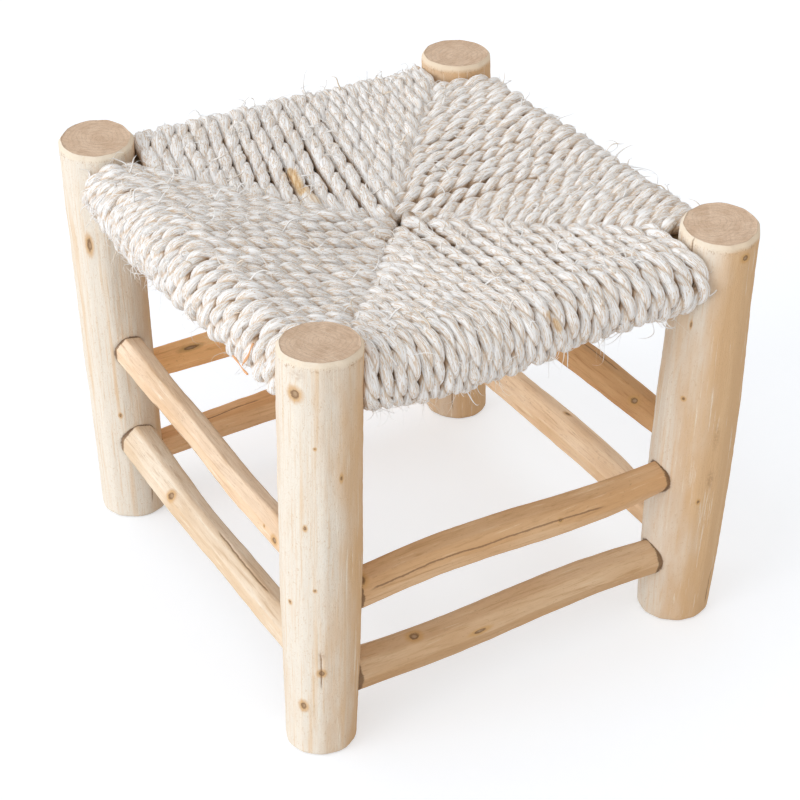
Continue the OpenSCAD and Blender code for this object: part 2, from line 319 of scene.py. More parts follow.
def post_finish():
    """Pale debarked log: painted light, pale, on the side facing the light and painted shade, a darker
    tan, on the side away from it; streaks, beetle flecks and sawn ends.
    """
    f = Finish("post_wood", roughness=0.78, specular=0.15)
    grain = f.vector("grain")
    broad = f.noise(grain, (24, 24, 90), detail=3, roughness=0.6)
    band = f.noise(grain, (6.5, 6.5, 150), detail=3, roughness=0.55)
    streak = f.noise(grain, (1.9, 1.9, 55), detail=4, roughness=0.62, distortion=0.3)
    fine = f.noise(grain, (0.6, 0.6, 9), detail=2)
    fleck = f.noise(grain, (1.5, 1.5, 2.6), detail=3, roughness=0.65, distortion=1.4)
    squiggle = f.noise(grain, (2.6, 2.6, 7), detail=2, roughness=0.5, distortion=2.6)
    # Painted light and shade: pale on the side of the post facing the light, darker tan on the side
    # away from it
    bleach = f.plus(f.value("bleach"), f.sway(broad, 1.1))
    colour = f.mix(f.step(bleach, 0.1, 0.9), LOG_SHADED_TAN, LOG_LIT)
    colour = f.layers(colour, (LOG_BAND, band, 0.52, 0.72, 0.55),
                      (LOG_STREAK, streak, 0.5, 0.72, 0.55),
                      (LOG_PALE_STREAK, streak, 0.42, 0.28, 0.7))
    dashes = f.times(f.step(f.off_middle(squiggle), 0.022, 0.006), f.step(fleck, 0.5, 0.6))
    colour = f.over(colour, LOG_DASH, dashes, 0.5)
    colour = f.layers(colour, (LOG_FLECK, fleck, 0.6, 0.7, 0.5), (LOG_FINE, fine, 0.6, 0.75, 0.3))
    end = f.value("end")
    scratch = f.noise(f.vector("saw"), (0.5, 13, 30), detail=3, roughness=0.6, distortion=0.2)
    colour = f.over(colour, sawn_end(f, grain, scratch), end)
    colour = f.over(colour, LOG_EDGE, f.value("edge"), 0.7)
    specks = f.times(f.value("under_edge"), f.step(fleck, 0.54, 0.62))
    colour = f.over(colour, LOG_SPECK, specks, 0.75)
    height = f.plus(f.times(fleck, 0.45), f.times(streak, 0.55), f.times(f.times(scratch, end), 0.7),
                    f.times(fine, 0.2))
    return f.paint(marks(f, colour), f.bump(height, 0.55))


def sawn_end(f, grain, scratch):
    """Colour of end grain: faint uneven rings, saw scratches across and a few dark pores."""
    pith = f.plus(f.value("pith"), f.times(f.noise(grain, (11, 11, 60), detail=3), 9.0))
    rings = f.math("SINE", f.times(pith, TAU / RING_WIDTH))
    pores = f.noise(grain, (0.8, 0.8, 30), detail=3, roughness=0.7)
    cloud = f.noise(grain, (13, 13, 60), detail=3, roughness=0.6)
    sawn = f.mix(f.step(cloud, 0.35, 0.65), SAWN_PALE, SAWN_DARK)
    return f.layers(sawn, (SAWN_RING, rings, 0.2, 1.0, 0.28), (SAWN_SCRATCH, scratch, 0.53, 0.68, 0.5),
                    (SAWN_PORE, pores, 0.54, 0.7, 0.5), (SAWN_LIT, scratch, 0.44, 0.3, 0.7))


BAR_PALE, BAR_DARK, BAR_BROAD = (0.78, 0.60, 0.42), (0.64, 0.42, 0.24), (0.58, 0.36, 0.19)
BAR_STREAK, BAR_PALE_STREAK = (0.50, 0.30, 0.15), (0.79, 0.65, 0.475)
BAR_FINE, BAR_FLECK = (0.45, 0.27, 0.14), (0.38, 0.22, 0.11)


def stretcher_finish():
    """Warm branch wood, cut to long facets with a drawknife."""
    f = Finish("stretcher_wood", roughness=0.72, specular=0.2)
    grain = f.vector("grain")
    broad = f.noise(grain, (90, 22, 22), detail=3)
    streak = f.noise(grain, (45, 2.2, 2.2), detail=4, roughness=0.62, distortion=0.4)
    fine = f.noise(grain, (11, 0.6, 0.6), detail=3, roughness=0.6)
    fleck = f.noise(grain, (3.2, 1.3, 1.3), detail=3, roughness=0.6, distortion=0.8)
    colour = f.mix(f.value("tone"), BAR_PALE, BAR_DARK)
    colour = f.layers(colour, (BAR_BROAD, broad, 0.4, 0.72, 0.6),
                      (BAR_STREAK, streak, 0.5, 0.75, 0.75),
                      (BAR_PALE_STREAK, streak, 0.42, 0.26, 0.7),
                      (BAR_FINE, fine, 0.55, 0.75, 0.5),
                      (BAR_FLECK, fleck, 0.62, 0.72, 0.4))
    colour = f.mix(1.0, colour, f.vector("tint"), blend="MULTIPLY")
    height = f.plus(f.times(streak, 0.6), f.times(fine, 0.35), f.times(fleck, 0.25))
    return f.paint(marks(f, colour), f.bump(height, 0.6))


KNOT_HALO, KNOT_RIM, KNOT_HEART = (0.62, 0.36, 0.14), (0.20, 0.115, 0.06), (0.50, 0.35, 0.22)
CRACK, STAIN, MORTISE_GAP_SHADE = (0.24, 0.135, 0.07), (0.40, 0.24, 0.13), (0.20, 0.115, 0.06)


def marks(f, colour):
    """Knots, cracks, stains and painted shade in a dark ragged ring round each mortise, where a
    stretcher enters a post, over a wood's colour.
    """
    ragged = f.noise(f.vector("grain"), (2.2, 2.2, 2.2), detail=3, roughness=0.7)
    knot = f.plus(f.value("knot"), f.sway(ragged, 0.9))
    colour = f.layers(colour, (KNOT_HALO, knot, 2.6, 1.2, 0.75), (KNOT_RIM, knot, 1.25, 0.75, 0.85),
                      (KNOT_HEART, knot, 0.8, 0.3, 0.8))
    gap = f.math("SUBTRACT", f.math("ABSOLUTE", f.value("crack")), f.times(ragged, 0.9))
    colour = f.over(colour, CRACK, f.times(f.step(gap, 0.35, -0.15), f.value("cracked")), 0.75)
    colour = f.over(colour, STAIN, f.times(f.value("stain"), f.step(ragged, 0.3, 0.65)))
    # Painted shade of the gap round each joint: a dark ragged ring where the stretcher meets the post
    rim = f.plus(f.value("rim"), f.sway(ragged, 3.2))
    return f.layers(colour, (MORTISE_GAP_SHADE, rim, 1.5, 0.2, 0.85))


RAIL_PALE, RAIL_DARK = (0.52, 0.36, 0.2), (0.36, 0.23, 0.12)


def rail_finish():
    """Plain round rail, seen only through the gaps of the rope."""
    f = Finish("rail_wood", roughness=0.75, specular=0.2)
    place_mm = f.scaled(f.node("TexCoord", {}, "Object"), (MM, MM, MM))
    streak = f.noise(place_mm, (9, 9, 2), detail=4, roughness=0.6)
    colour = f.mix(f.step(streak, 0.35, 0.7), RAIL_PALE, RAIL_DARK)
    return f.paint(colour, f.bump(streak, 0.4))


ROPE_WHITE, ROPE_BEIGE, ROPE_TAN = (0.965, 0.963, 0.96), (0.95, 0.933, 0.915), (0.86, 0.77, 0.67)
# Painted shade: the crease colour is for the creases between the strands, the next two for each rope's
# inner side and for its ends where they dive under other ropes
ROPE_LIT, ROPE_SPLIT, ROPE_CREASE_SHADE = (0.97, 0.972, 0.975), (0.68, 0.52, 0.37), (0.74, 0.56, 0.39)
ROPE_INNER_SHADE, ROPE_END_SHADE = (0.66, 0.47, 0.31), (0.60, 0.46, 0.34)
STRAW_PALE, STRAW_DARK = (0.86, 0.68, 0.45), (0.66, 0.42, 0.21)


def rope_finish():
    """Twisted palm fibre: white and beige bundles with fine grooves, with painted shade in tan in the
    creases between the strands, on each rope's inner side and near the ends that dive under other
    ropes.
    """
    f = Finish("seat_rope", roughness=0.9, specular=0.1)
    lay = f.vector("fibre")
    bundle = f.noise(lay, (2.4, 2.4, 13), detail=2, roughness=0.6, distortion=0.5)
    warm = f.noise(f.vector("strand"), (5.5, 5.5, 30), detail=2)
    ribbon = f.noise(lay, (1.5, 1.5, 12), detail=2, roughness=0.5, distortion=0.6)
    streak = f.noise(lay, (0.95, 0.95, 10), detail=2, roughness=0.6, distortion=0.4)
    split = f.off_middle(ribbon)
    # Painted shade: tan in the creases between the two strands and on the rope's inner side, which
    # faces its rail and the layers below
    crease = f.plus(f.value("crease"), f.sway(streak, 0.6))
    deep = f.plus(f.value("deep"), f.sway(streak, 0.5))
    colour = f.mix(f.step(bundle, 0.42, 0.66), ROPE_WHITE, ROPE_BEIGE)
    colour = f.layers(colour, (ROPE_TAN, warm, 0.57, 0.75, 0.5), (ROPE_TAN, streak, 0.54, 0.66, 0.5),
                      (ROPE_LIT, streak, 0.48, 0.38, 0.8), (ROPE_SPLIT, split, 0.045, 0.01, 0.85),
                      (ROPE_CREASE_SHADE, crease, 0.42, 0.88, 0.85), (ROPE_INNER_SHADE, deep, 0.2, 0.8, 0.9))
    # Painted shade, darker near the ends of each stretch of rope, where they dive under other ropes
    colour = f.over(colour, ROPE_END_SHADE, f.value("dusk"), 0.3)
    straw = f.mix(f.step(streak, 0.4, 0.6), STRAW_PALE, STRAW_DARK)
    colour = f.over(colour, straw, f.value("straw"))
    height = f.plus(f.times(f.step(split, 0.0, 0.12), 0.25), f.times(bundle, 1.2),
                    f.times(streak, 0.4))
    return f.paint(colour, f.bump(height, 0.9))


LOOSE_PALE, LOOSE_DARK = (0.96, 0.955, 0.945), (0.84, 0.72, 0.58)
STICK_PALE, STICK_DARK = (0.80, 0.50, 0.30), (0.76, 0.42, 0.22)


def fuzz_finish(name, pale, dark):
    """Single loose fibres and sticks."""
    f = Finish(name, roughness=0.85, specular=0.15)
    ripple = f.noise(f.vector("strand"), (0.5, 0.5, 3))
    return f.paint(f.mix(f.value("tone"), pale, dark), f.bump(ripple, 0.05))


# ---- posts


def post_axis(p, z):
    """Middle of a post at height z."""
    lean = (SEAT_H - z) / SEAT_H
    return [sign * (size / 2 - foot_in * lean)
            for sign, size, foot_in in zip(POST_SIGN[p], (FRAME_W, FRAME_D), FOOT_IN[p])]


def shaft_r(p, z):
    """Radius of a post at height z."""
    belly_top = SEAT_H - RAIL_D
    inside = np.clip(np.asarray(z, dtype=float) / belly_top, 0, 1)
    belly = POST_BELLY[p] * np.sin(np.pi * inside) ** 0.7
    taper = FOOT_TAPER[p] * np.clip(1 - np.maximum(z, 0) / (POST_H / 2), 0, 1) ** 1.5
    return POST_R + (belly - taper) / 2


def whittled(angle, along, radius, planes, depth, seed, sharp):
    """Radius of a log after drawknife cuts, and the cut that each point lies on."""
    cuts = [np.broadcast_to(radius * 1.01, angle.shape)]
    for k in range(planes):
        turn = TAU * (k + 0.35 * wander(along, 150, seed + k)) / planes
        depth_k = depth * (0.55 + 0.45 * wander(along, 75, seed + 40 + k))
        facing = np.cos(angle - turn)
        cut = np.where(facing > 0.4, radius * (1 - depth_k) / np.maximum(facing, 0.4), radius * 3)
        cuts.append(cut)
    cuts = np.stack(cuts)
    softest = -np.log(np.exp(-sharp * (cuts - radius)).sum(axis=0)) / sharp + radius
    return softest, cuts.argmin(axis=0)


def bar_line(bar):
    """Start, end, unit vector, level side vector and up vector of a stretcher's line."""
    first, second, heights = bar[:3]
    start = np.array([*post_axis(first, heights[0]), heights[0]])
    end = np.array([*post_axis(second, heights[1]), heights[1]])
    u = unit(end - start)
    side = unit(np.cross([0, 0, 1], u))
    return start, end, u, side, np.cross(u, side)


def bar_d(d, t):
    """Diameter of a stretcher at share t of its length, from those at its start, middle and end."""
    first = d[0] + (d[1] - d[0]) * np.sin(np.pi * t)
    last = d[2] + (d[1] - d[2]) * np.sin(np.pi * t)
    return np.where(t < 0.5, first, last)


# Knots, dots and chips of the posts: height, angle around the axis, half height, half width
POST_KNOTS = {
    FL: [(287, -153, 3.1, 2.9), (74, -118, 2.0, 1.9), (44, -146, 2.8, 2.1), (142, -127, 0.9, 0.8),
         (127, -167, 1.2, 1.0), (190, -140, 1.6, 0.9), (250, -126, 0.8, 0.7), (227, -91, 2.2, 0.7)],
    FR: [(296, -87, 2.0, 2.1), (246, -155, 2.0, 0.6), (190, -151, 1.2, 1.1), (108, -112, 1.4, 0.9)],
    BR: [(210, -60, 2.0, 1.5), (120, 150, 3.0, 2.4), (60, 20, 2.4, 1.8), (205, 100, 1.6, 1.2)],
    BL: [(238, -139, 5.0, 1.7), (95, -120, 1.4, 1.0), (170, 60, 3.4, 2.6), (75, 130, 2.2, 1.6)],
}
# Cracks of the posts: from height, to height, angle
POST_CRACKS = {
    FL: [(60, 92, -118), (20, 110, 80)],
    FR: [(255, 309, -170), (150, 280, 95), (8, 40, -60)],
    BR: [(180, 305, 30), (10, 80, -130)],
    BL: [(120, 250, 40), (12, 60, -80)],
}
# Brown stains of the posts: height, angle, half width, half height, strength
POST_STAINS = {
    FL: [(89, -118, 3, 5, 0.5), (300, -150, 6, 5, 0.35)],
    FR: [(125, -98, 3, 9, 0.6), (160, -98, 3, 12, 0.45)],
    BR: [(140, -100, 4, 10, 0.3)],
    BL: [(290, -120, 4, 14, 0.3)],
}
# Knots and cracks of the stretchers, with the place along them instead of the height
BAR_KNOTS = {
    "front_upper": [(176, 160, 1.2, 1.0), (26, 120, 2.6, 3.2)],
    "front_lower": [(69, 105, 3.4, 2.4), (115, 163, 5.0, 1.0)],
    "right_upper": [(57, 41, 3.0, 2.4), (190, -60, 2.4, 2.0)],
    "right_lower": [(150, 100, 2.2, 1.6)],
    "back_upper": [(54, 131, 6.0, 1.4), (200, 20, 2.4, 2.0)],
    "back_lower": [(120, 60, 2.8, 2.0)],
    "left_upper": [(45, 11, 2.6, 2.2), (60, 20, 0.9, 0.9)],
    "left_lower": [(210, 37, 3.0, 2.4)],
}
BAR_CRACKS = {
    "front_upper": [(31, 212, 160)],
    "right_upper": [(90, 180, 100)],
    "back_upper": [(90, 200, 60)],
    "back_lower": [(40, 110, 110)],
    "left_upper": [(120, 230, -20)],
    "left_lower": [(70, 150, 80)],
}
# Painted light and shade of each post: the angle of the side painted palest, as if lit, and how much
# the whole post is painted lighter, below zero darker
POST_LIT_SIDE = [(195, -0.12), (165, -0.3), (200, -0.6), (185, 0.2)]
SAWN_ANGLE = [0.35, 1.2, 2.0, 0.9]  # of the saw marks on each top

# How each stretcher's colour differs from the common one: red, green, blue
BAR_TINT = {
    "front_upper": (1.08, 1.0, 0.90), "front_lower": (1.0, 0.97, 0.92),
    "right_upper": (0.92, 0.75, 0.56), "right_lower": (1.28, 1.33, 1.39),
    "back_upper": (1.42, 1.17, 0.85), "back_lower": (1.18, 1.05, 0.91),
    "left_upper": (1.25, 1.36, 1.56), "left_lower": (1.16, 1.34, 1.6),
}


def arc_from(angle, degrees):
    """Angle between -pi and pi from the given direction."""
    return (angle - math.radians(degrees) + np.pi) % TAU - np.pi


def oval(angle, along, radius, place_at, degrees, half_along, half_around):
    """Distance over a surface from the middle of an oval mark, 1 at its border."""
    return np.hypot((along - place_at) / half_along, radius * arc_from(angle, degrees) / half_around)


def mark_values(angle, along, radius, knots, cracks, stains, seed):
    """Knot, crack and stain values of a wood surface, and how far its knots swell it."""
    knot = np.full(angle.shape, 9.0)
    swell = np.zeros(angle.shape)
    for place_at, degrees, half_along, half_around in knots:
        out = oval(angle, along, radius, place_at, degrees, half_along, half_around)
        knot = np.minimum(knot, out)
        raised, sunken = np.exp(-(out / 2.6) ** 2), np.exp(-(out / 0.9) ** 2)
        swell += 0.35 * math.sqrt(half_along * half_around) * (raised - 1.4 * sunken)
    crack = np.full(angle.shape, 99.0)
    cracked = np.zeros(angle.shape)
    for n, (first, last, degrees) in enumerate(cracks):
        line = radius * arc_from(angle, degrees) + 2.2 * wander(along, 23, seed + n)
        line += 0.5 * wander(along, 5, seed + 9 + n)
        nearer = np.abs(line) < np.abs(crack)
        crack = np.where(nearer, line, crack)
        here = smooth(along, first - 2, first + 6) * smooth(along, last + 2, last - 6)
        cracked = np.where(nearer, here * smooth(np.abs(line), 6, 3), cracked)
    stain = np.zeros(angle.shape)
    for place_at, degrees, half_around, half_along, strength in stains:
        out = oval(angle, along, radius, place_at, degrees, half_along, half_around)
        stain = np.maximum(stain, strength * smooth(out, 1.3, 0.2))
    groove = 0.5 * cracked * np.exp(-(crack / 0.8) ** 2)
    return {"knot": knot, "crack": crack, "cracked": cracked, "stain": stain}, swell - groove


def relief(x, y, z, layers, seed):
    """Unevenness of a surface: noises, each with a height and the size of its bumps."""
    return sum(height * noise(x / size[0], y / size[1], z / size[2], seed + n)
               for n, (height, size) in enumerate(layers))


POST_AROUND, SIDE_ROWS, TOP_ROWS = 156, 210, 22
POST_FLATS = 11
POST_CUTS = [0.025, 0.045, 0.03, 0.03]  # depth of each post's flats, as a share of its radius
LOG_RELIEF = [(0.55, (34, 34, 70)), (0.28, (12, 12, 26)), (0.14, (3.4, 3.4, 5)),
              (0.09, (1.8, 1.8, 2.6))]
LOG_SKIN = 0.35  # how far the log's own surface lies outside the CAD post
NO_MARKS = {"knot": 9.0, "crack": 9.0, "cracked": 0.0, "stain": 0.0, "rim": 81.0}  # of a sawn top


def log_side(theta, uphill, chips, seed):
    """Heights of a post's rings from its rounded foot to its top edge, and their insets."""
    foot_turn = np.linspace(0, np.pi / 2, 6)[:, None]
    chamfer = np.array([0.08, 0.3, 0.6, 0.85, 0.96, 1])[:, None]
    foot = FOOT_BEVEL * (1.15 + 0.3 * wander(theta * POST_R, 11, seed + 6))[None, :]
    bevel = TOP_BEVEL * (1 + 0.25 * chips)
    edge = POST_H + uphill[None, :] * POST_R - bevel
    share = np.linspace(0, 1, SIDE_ROWS + 1)[1:-1, None]
    z = np.concatenate([foot * (1 - np.cos(foot_turn)), foot + (edge - foot) * share,
                        edge + bevel * chamfer])
    inset = np.concatenate([foot * (1 - np.sin(foot_turn)), np.zeros((SIDE_ROWS - 1, POST_AROUND)),
                            0.85 * bevel * chamfer])
    return z, inset


def log_top(theta, uphill, edge_radius, seed):
    """Heights and radii of the rings of a rough sawn top, from its bevel to the middle."""
    shrink = np.concatenate([[0.99], np.linspace(0.96, 0.03, TOP_ROWS - 1)])[:, None]
    radius = edge_radius * shrink
    x, y = polar(radius, theta)
    across, along = polar(radius, theta + 0.6)
    rough = 0.22 * noise(x / 5, y / 5, 0.5, seed + 7)
    rough += 0.12 * noise(across / 1.1, along / 14, 3.5, seed + 8)
    return POST_H + uphill * radius + rough * smooth(radius, 26, 22) - 0.3, radius


def log_post(p, material):
    """One leaning log post: rounded foot, soft flats, knots, and a sloping sawn top."""
    seed = 100 + 31 * p
    theta = np.arange(POST_AROUND) * TAU / POST_AROUND
    uphill = math.tan(math.radians(TOP_SLOPE[p])) \
        * (TOP_UPHILL[0] * np.cos(theta) + TOP_UPHILL[1] * np.sin(theta))
    chips = wander(theta * POST_R, 7, seed + 5)[None, :]
    z, inset = log_side(theta, uphill, chips, seed)
    angle = np.broadcast_to(theta, z.shape)
    cuts = whittled(angle, z, shaft_r(p, z), POST_FLATS, POST_CUTS[p], seed, sharp=1.6)[0]
    values, swell = mark_values(angle, z, POST_R, POST_KNOTS[p], POST_CRACKS[p], POST_STAINS[p], seed)
    # Distance to the joints, for painted shade round them and a shallow dent
    values["rim"] = mortise_rims(p, angle, z)
    swell -= 0.9 * np.exp(-(np.maximum(values["rim"], 0) / 1.3) ** 2)
    bumps = relief(*polar(POST_R, angle), z, LOG_RELIEF, seed)
    radius = cuts + bumps + swell - inset + LOG_SKIN
    top_z, top_radius = log_top(theta, uphill, radius[-1:], seed)
    z, radius = np.concatenate([z, top_z]), np.concatenate([radius, top_radius])
    for key, away in NO_MARKS.items():
        values[key] = np.concatenate([values[key], np.full(top_z.shape, away)])
    x, y = polar(radius, theta)
    cx, cy = post_axis(p, z)
    is_top = (np.arange(len(z)) >= len(z) - TOP_ROWS - 1)[:, None] * np.ones(POST_AROUND)
    below_top = POST_H + uphill * POST_R - z + 0.9 * chips
    lip = np.where(is_top < 0.5, smooth(below_top, 5.0, 3.2), 0)
    under_lip = smooth(below_top, 3.0, 4.4) * smooth(below_top, 7.5, 5.0)
    lit_angle, lit_offset = POST_LIT_SIDE[p]
    # Painted light and shade: highest on the side facing the light, lowest on the side away from it
    bleach = 0.5 + 0.5 * np.cos(theta - math.radians(lit_angle)) + lit_offset + 0 * z
    cos_saw, sin_saw = math.cos(SAWN_ANGLE[p]), math.sin(SAWN_ANGLE[p])
    saw = np.stack([x * cos_saw + y * sin_saw, y * cos_saw - x * sin_saw, z], -1)
    pith = np.hypot(x - 3 * math.cos(p * 2), y - 3 * math.sin(p * 2))
    pith = pith * (1 + 0.08 * noise(x / 12, y / 12, 0.5, seed + 9))
    skin = Skin()
    skin.add(np.stack([cx + x, cy + y, z], -1), grain=np.stack([x + 300 * p, y, z], -1), saw=saw,
             end=is_top, edge=lip, under_edge=under_lip, bleach=bleach, pith=pith, **values)
    skin.build(f"log_{POST_NAMES[p]}", material, "post_wood", f"post_{POST_NAMES[p]}")


def mortise_rims(p, angle, z):
    """Distance over a post's surface to the nearest stretcher that enters it."""
    nearest = np.full(angle.shape, 99.0)
    for bar in STRETCHERS.values():
        if p not in bar[:2]:
            continue
        first = bar[0] == p
        u = bar_line(bar)[2]
        out = u if first else -u
        height, radius = (bar[2][0], bar[3][0] / 2) if first else (bar[2][1], bar[3][2] / 2)
        away = angle - math.atan2(out[1], out[0])
        on_surface = height + out[2] / math.hypot(out[0], out[1]) * POST_R
        gap = np.hypot(POST_R * np.sin(away), z - on_surface) - radius
        nearest = np.where(np.cos(away) > 0.2, np.minimum(nearest, gap), nearest)
    return nearest


BAR_ROWS, BAR_AROUND = 230, 96
BAR_FLATS, BAR_CUT = 7, 0.12
BAR_FULL = 1.03  # how full a branch is before its flats are cut
BAR_SUNK = 7  # how far it goes into the posts
BAR_MARKS_R = 12.5  # radius at which its marks are measured
BAR_RELIEF = [(0.5, (55, 14, 14)), (0.22, (14, 5, 5)), (0.13, (6, 1.6, 1.6))]


def branch(name, bar, seed, material):
    """One bent branch, cut to irregular facets, from post to post."""
    first, second, heights, d, bend = bar
    start, end, u, side, up = bar_line(bar)
    x0 = float(shaft_r(first, heights[0]))
    x1 = np.linalg.norm(end - start) - float(shaft_r(second, heights[1]))
    x = np.linspace(x0 - BAR_SUNK, x1 + BAR_SUNK, BAR_ROWS)[:, None]
    t = np.clip((x - x0) / (x1 - x0), 0, 1)
    angle = np.broadcast_to(np.arange(BAR_AROUND) * TAU / BAR_AROUND, (BAR_ROWS, BAR_AROUND))
    along = np.broadcast_to(x, angle.shape)
    radius = bar_d(d, t) / 2 * np.ones_like(angle) * BAR_FULL
    cuts, cut = whittled(angle, along, radius, BAR_FLATS, BAR_CUT, seed, sharp=4.5)
    y0, z0 = polar(radius, angle)
    cracks = BAR_CRACKS.get(name, [])
    values, swell = mark_values(angle, along, BAR_MARKS_R, BAR_KNOTS[name], cracks, [], seed)
    r = cuts + relief(along, y0, z0, BAR_RELIEF, seed + 1) + swell
    rise = bend[0] * np.sin(np.pi * t) + bend[1] * np.sin(2 * np.pi * t)
    rise = rise + 0.6 * wander(x, 45, seed + 4)
    sway = 0.9 * wander(x, 60, seed + 5)
    local_y, local_z = r * np.cos(angle) + sway, r * np.sin(angle) + rise
    rings = start + x[..., None] * u + local_y[..., None] * side + local_z[..., None] * up
    # Each cut has its own tone, which wavers over the branch
    tone = 0.75 * lattice(cut.astype(np.int64), 3, 5, seed) + 0.25
    tone = np.clip(tone + 0.35 * noise(along / 40, y0 / 12, z0 / 12, seed + 6), 0, 1)
    grain = np.stack([along + 400 * seed, local_y, local_z], -1)
    skin = Skin()
    # rim: distance to the posts, for painted shade where the branch enters them
    skin.add(rings, grain=grain, tone=tone, tint=np.broadcast_to(BAR_TINT[name], grain.shape),
             rim=np.minimum(along - x0, x1 - along) + 1.5, **values)
    skin.build(f"branch_{name}", material, "stretcher_wood", f"stretcher_{name}")


# ---- rope


def rail_at(s):
    """Distance from the middle of the stool to the rail of side s."""
    return (FRAME_W if s % 2 == 0 else FRAME_D) / 2


def reach(s):
    """The same to the nearest side of the posts, where the rope begins."""
    return rail_at(s) - POST_R - POST_ROOM


ROUNDS = int(min(reach(RIGHT), reach(FRONT)) / LAYER)


def place(s, i):
    """Place of round i, measured from the middle towards side s."""
    return reach(s) * (1 - (i + 0.5) / ROUNDS)


def slope(s):
    """How steeply the rope rises from the middle of the seat to the rail of side s."""
    return math.atan((2 * TURN_R - 2 * LAYER) / rail_at(s))


def top_at(s, x):
    """Height above the rails of the middle of the upper ropes, x from the middle of the stool."""
    return TURN_R / math.cos(slope(s)) - (rail_at(s) - x) * math.tan(slope(s))


def line_points(a, b):
    """Points of a straight line, about a millimetre apart."""
    return np.linspace(a, b, max(2, int(math.dist(a, b))))


def arc_points(centre, r, a0, a1):
    """Points of an arc in the XZ plane, as close together, with angles in degrees."""
    n = max(3, int(abs(math.radians(a1 - a0)) * max(r, 4)))
    a = np.radians(np.linspace(a0, a1, n))
    return np.stack([centre[0] + r * np.cos(a), centre[1] + r * np.sin(a)], -1)


DIVE = 6.5  # how deep a rope's end sinks below the rope that covers it
SEAM_CROWD = 0.85  # how the turns crowd towards the posts along a seam; 1 is evenly
SEAM_WIDEST = 1.25  # most room that a turn gets where they crowd less, in even spacings
SEAM_FULLER = 2.6  # extra room that a rope takes where it ends at a seam
FULLER_TO, FULLER_FROM = 26, 8  # distances from the seam where that room is gone and is whole
END_REACH = LAYER + 6  # how far a rope's end goes on from the seam, dipping
END_POINTS = 18
RING_STEP, INNER_STEP = 1.15, 2.2  # distance between the rings of a rope's mesh, seen and hidden

# How far the seams wander from the straight diagonals: at the middle, half way and at the post
SEAM_SHIFT = {
    "front_left": [(-6.5, -6.5), (2, -5), (2, -4)],
    "front_right": [(-6.5, -6.5), (-3, 3), (3, 7)],
    "back_right": [(-6.5, -6.5), (-4, 5), (0, 8)],
    "back_left": [(-6.5, -6.5), (-9, -13), (-4, -9)],
}
# Lists of four from here on have a value for each side: right, back, left, front.
# How far the turns hang below a rail: places along it, as seen in its frame, and depths
HANGS = [
    ([-120, 120], [2, 2]),
    ([-120, 120], [1.5, 1.5]),
    ([-125, -100, -60, -20, 20, 60, 110], [4, 12, 12.5, 10, 7, 3.5, 2]),
    ([-120, -90, -60, -45, -17, 5, 40, 120], [2, 8, 12, 12, 10, 6, 2.5, 2]),
]
# The strands are twisted by hand as the rope is laid, so each side has its own turn and direction
PITCH = [27, 54, 26, 34]  # length of a full turn of them
ROLL_PITCH = [34, 42, 30, 38]  # the same where they bend over a rail
HANDED = [-1, 1, 1, -1]
ROPE_THICK = [5.5, 5.9, 5.5, 5.6]  # radius over its crowns, evenly spaced
WILD = [1.25, 1.3, 1.6, 1.35]  # how unevenly the ropes lie
RAIL_SHIFT = [-26, -20, -31, -16]  # of the turns at the middle of a rail
HUG = [1.0, 0.72, 0.48, 0.28, 0.12]  # how closely the turns beside a post follow its round side


def looseness(s, lateral):
    """How far a turn hangs below the rail of side s."""
    return float(np.interp(lateral, *HANGS[s]) + 1.2 * wander(lateral + 500, 13, 60 + s))


def over_rail(s, loose):
    """The bend over the rail of side s, hanging lower at its underside where it is loose."""
    a = math.degrees(slope(s))
    arc = arc_points((0, 0), TURN_R, 90 + a, -90)
    low = np.clip(-arc[:, 1] / TURN_R, 0, 1)
    arc[:, 0] += rail_at(s) + 0.16 * loose * np.sin(np.pi * np.linspace(0, 1, len(arc))) ** 2
    arc[:, 1] -= loose * low ** 1.15
    return arc


def covered_end(x_seam):
    """Places of a rope's end from the seam outwards, and how deep it dips there."""
    far = x_seam + END_REACH
    x = np.linspace(x_seam + 0.5, far, END_POINTS)
    return x, DIVE * smooth(x, far, x_seam + 1.0)


def joined(*parts):
    """Stretches of a route one after the other, with straight lines between them."""
    route = [parts[0]]
    for before, part in zip(parts, parts[1:]):
        route += [line_points(before[-1], part[0])[1:], part[1:]]
    return np.concatenate(route)


def first_turn(s, x_top, x_under, loose):
    """Up from under the covering rope, over rail s, back below it, and up through the middle."""
    x, dip = covered_end(x_top)
    rise = np.stack([x, top_at(s, x) - dip], -1)
    elbow = arc_points((x_under + ELBOW_R, ELBOW_R - TURN_R), ELBOW_R, 270, 180)
    return joined(rise, over_rail(s, loose), elbow, np.array([(x_under, 4)]))


def second_turn(s, x_top, x_under, loose):
    """Up through the middle, over rail s, and back below it to the rope that covers the end."""
    knee = (x_top + ELBOW_R, top_at(s, x_top + ELBOW_R) - ELBOW_R / math.cos(slope(s)))
    bend = arc_points(knee, ELBOW_R, 180, 90 + math.degrees(slope(s)))
    x, dip = covered_end(x_under)
    tail = np.stack([x, dip - TURN_R], -1)[::-1]
    return joined(np.array([(x_top, -8)]), bend, over_rail(s, loose), tail)


def slant(s, route, x_seam, x_under):
    """How much of a turn's place along its rail comes from the seam above, and from the one below."""
    x, z = route.T
    upper = smooth(z, -6, 6)
    above = np.clip((rail_at(s) - x) / (rail_at(s) - x_seam), 0, 1) * upper
    below = np.clip((rail_at(s) - x) / (rail_at(s) - x_under), 0, 1) * (1 - upper)
    return above, below


def around_post(s, route):
    """How far a turn beside a post is pushed along the rail by the post's round side."""
    beyond = np.clip(route[:, 0] - rail_at(s), 0, 0.9 * POST_R)
    return POST_R - np.sqrt(POST_R ** 2 - beyond ** 2)


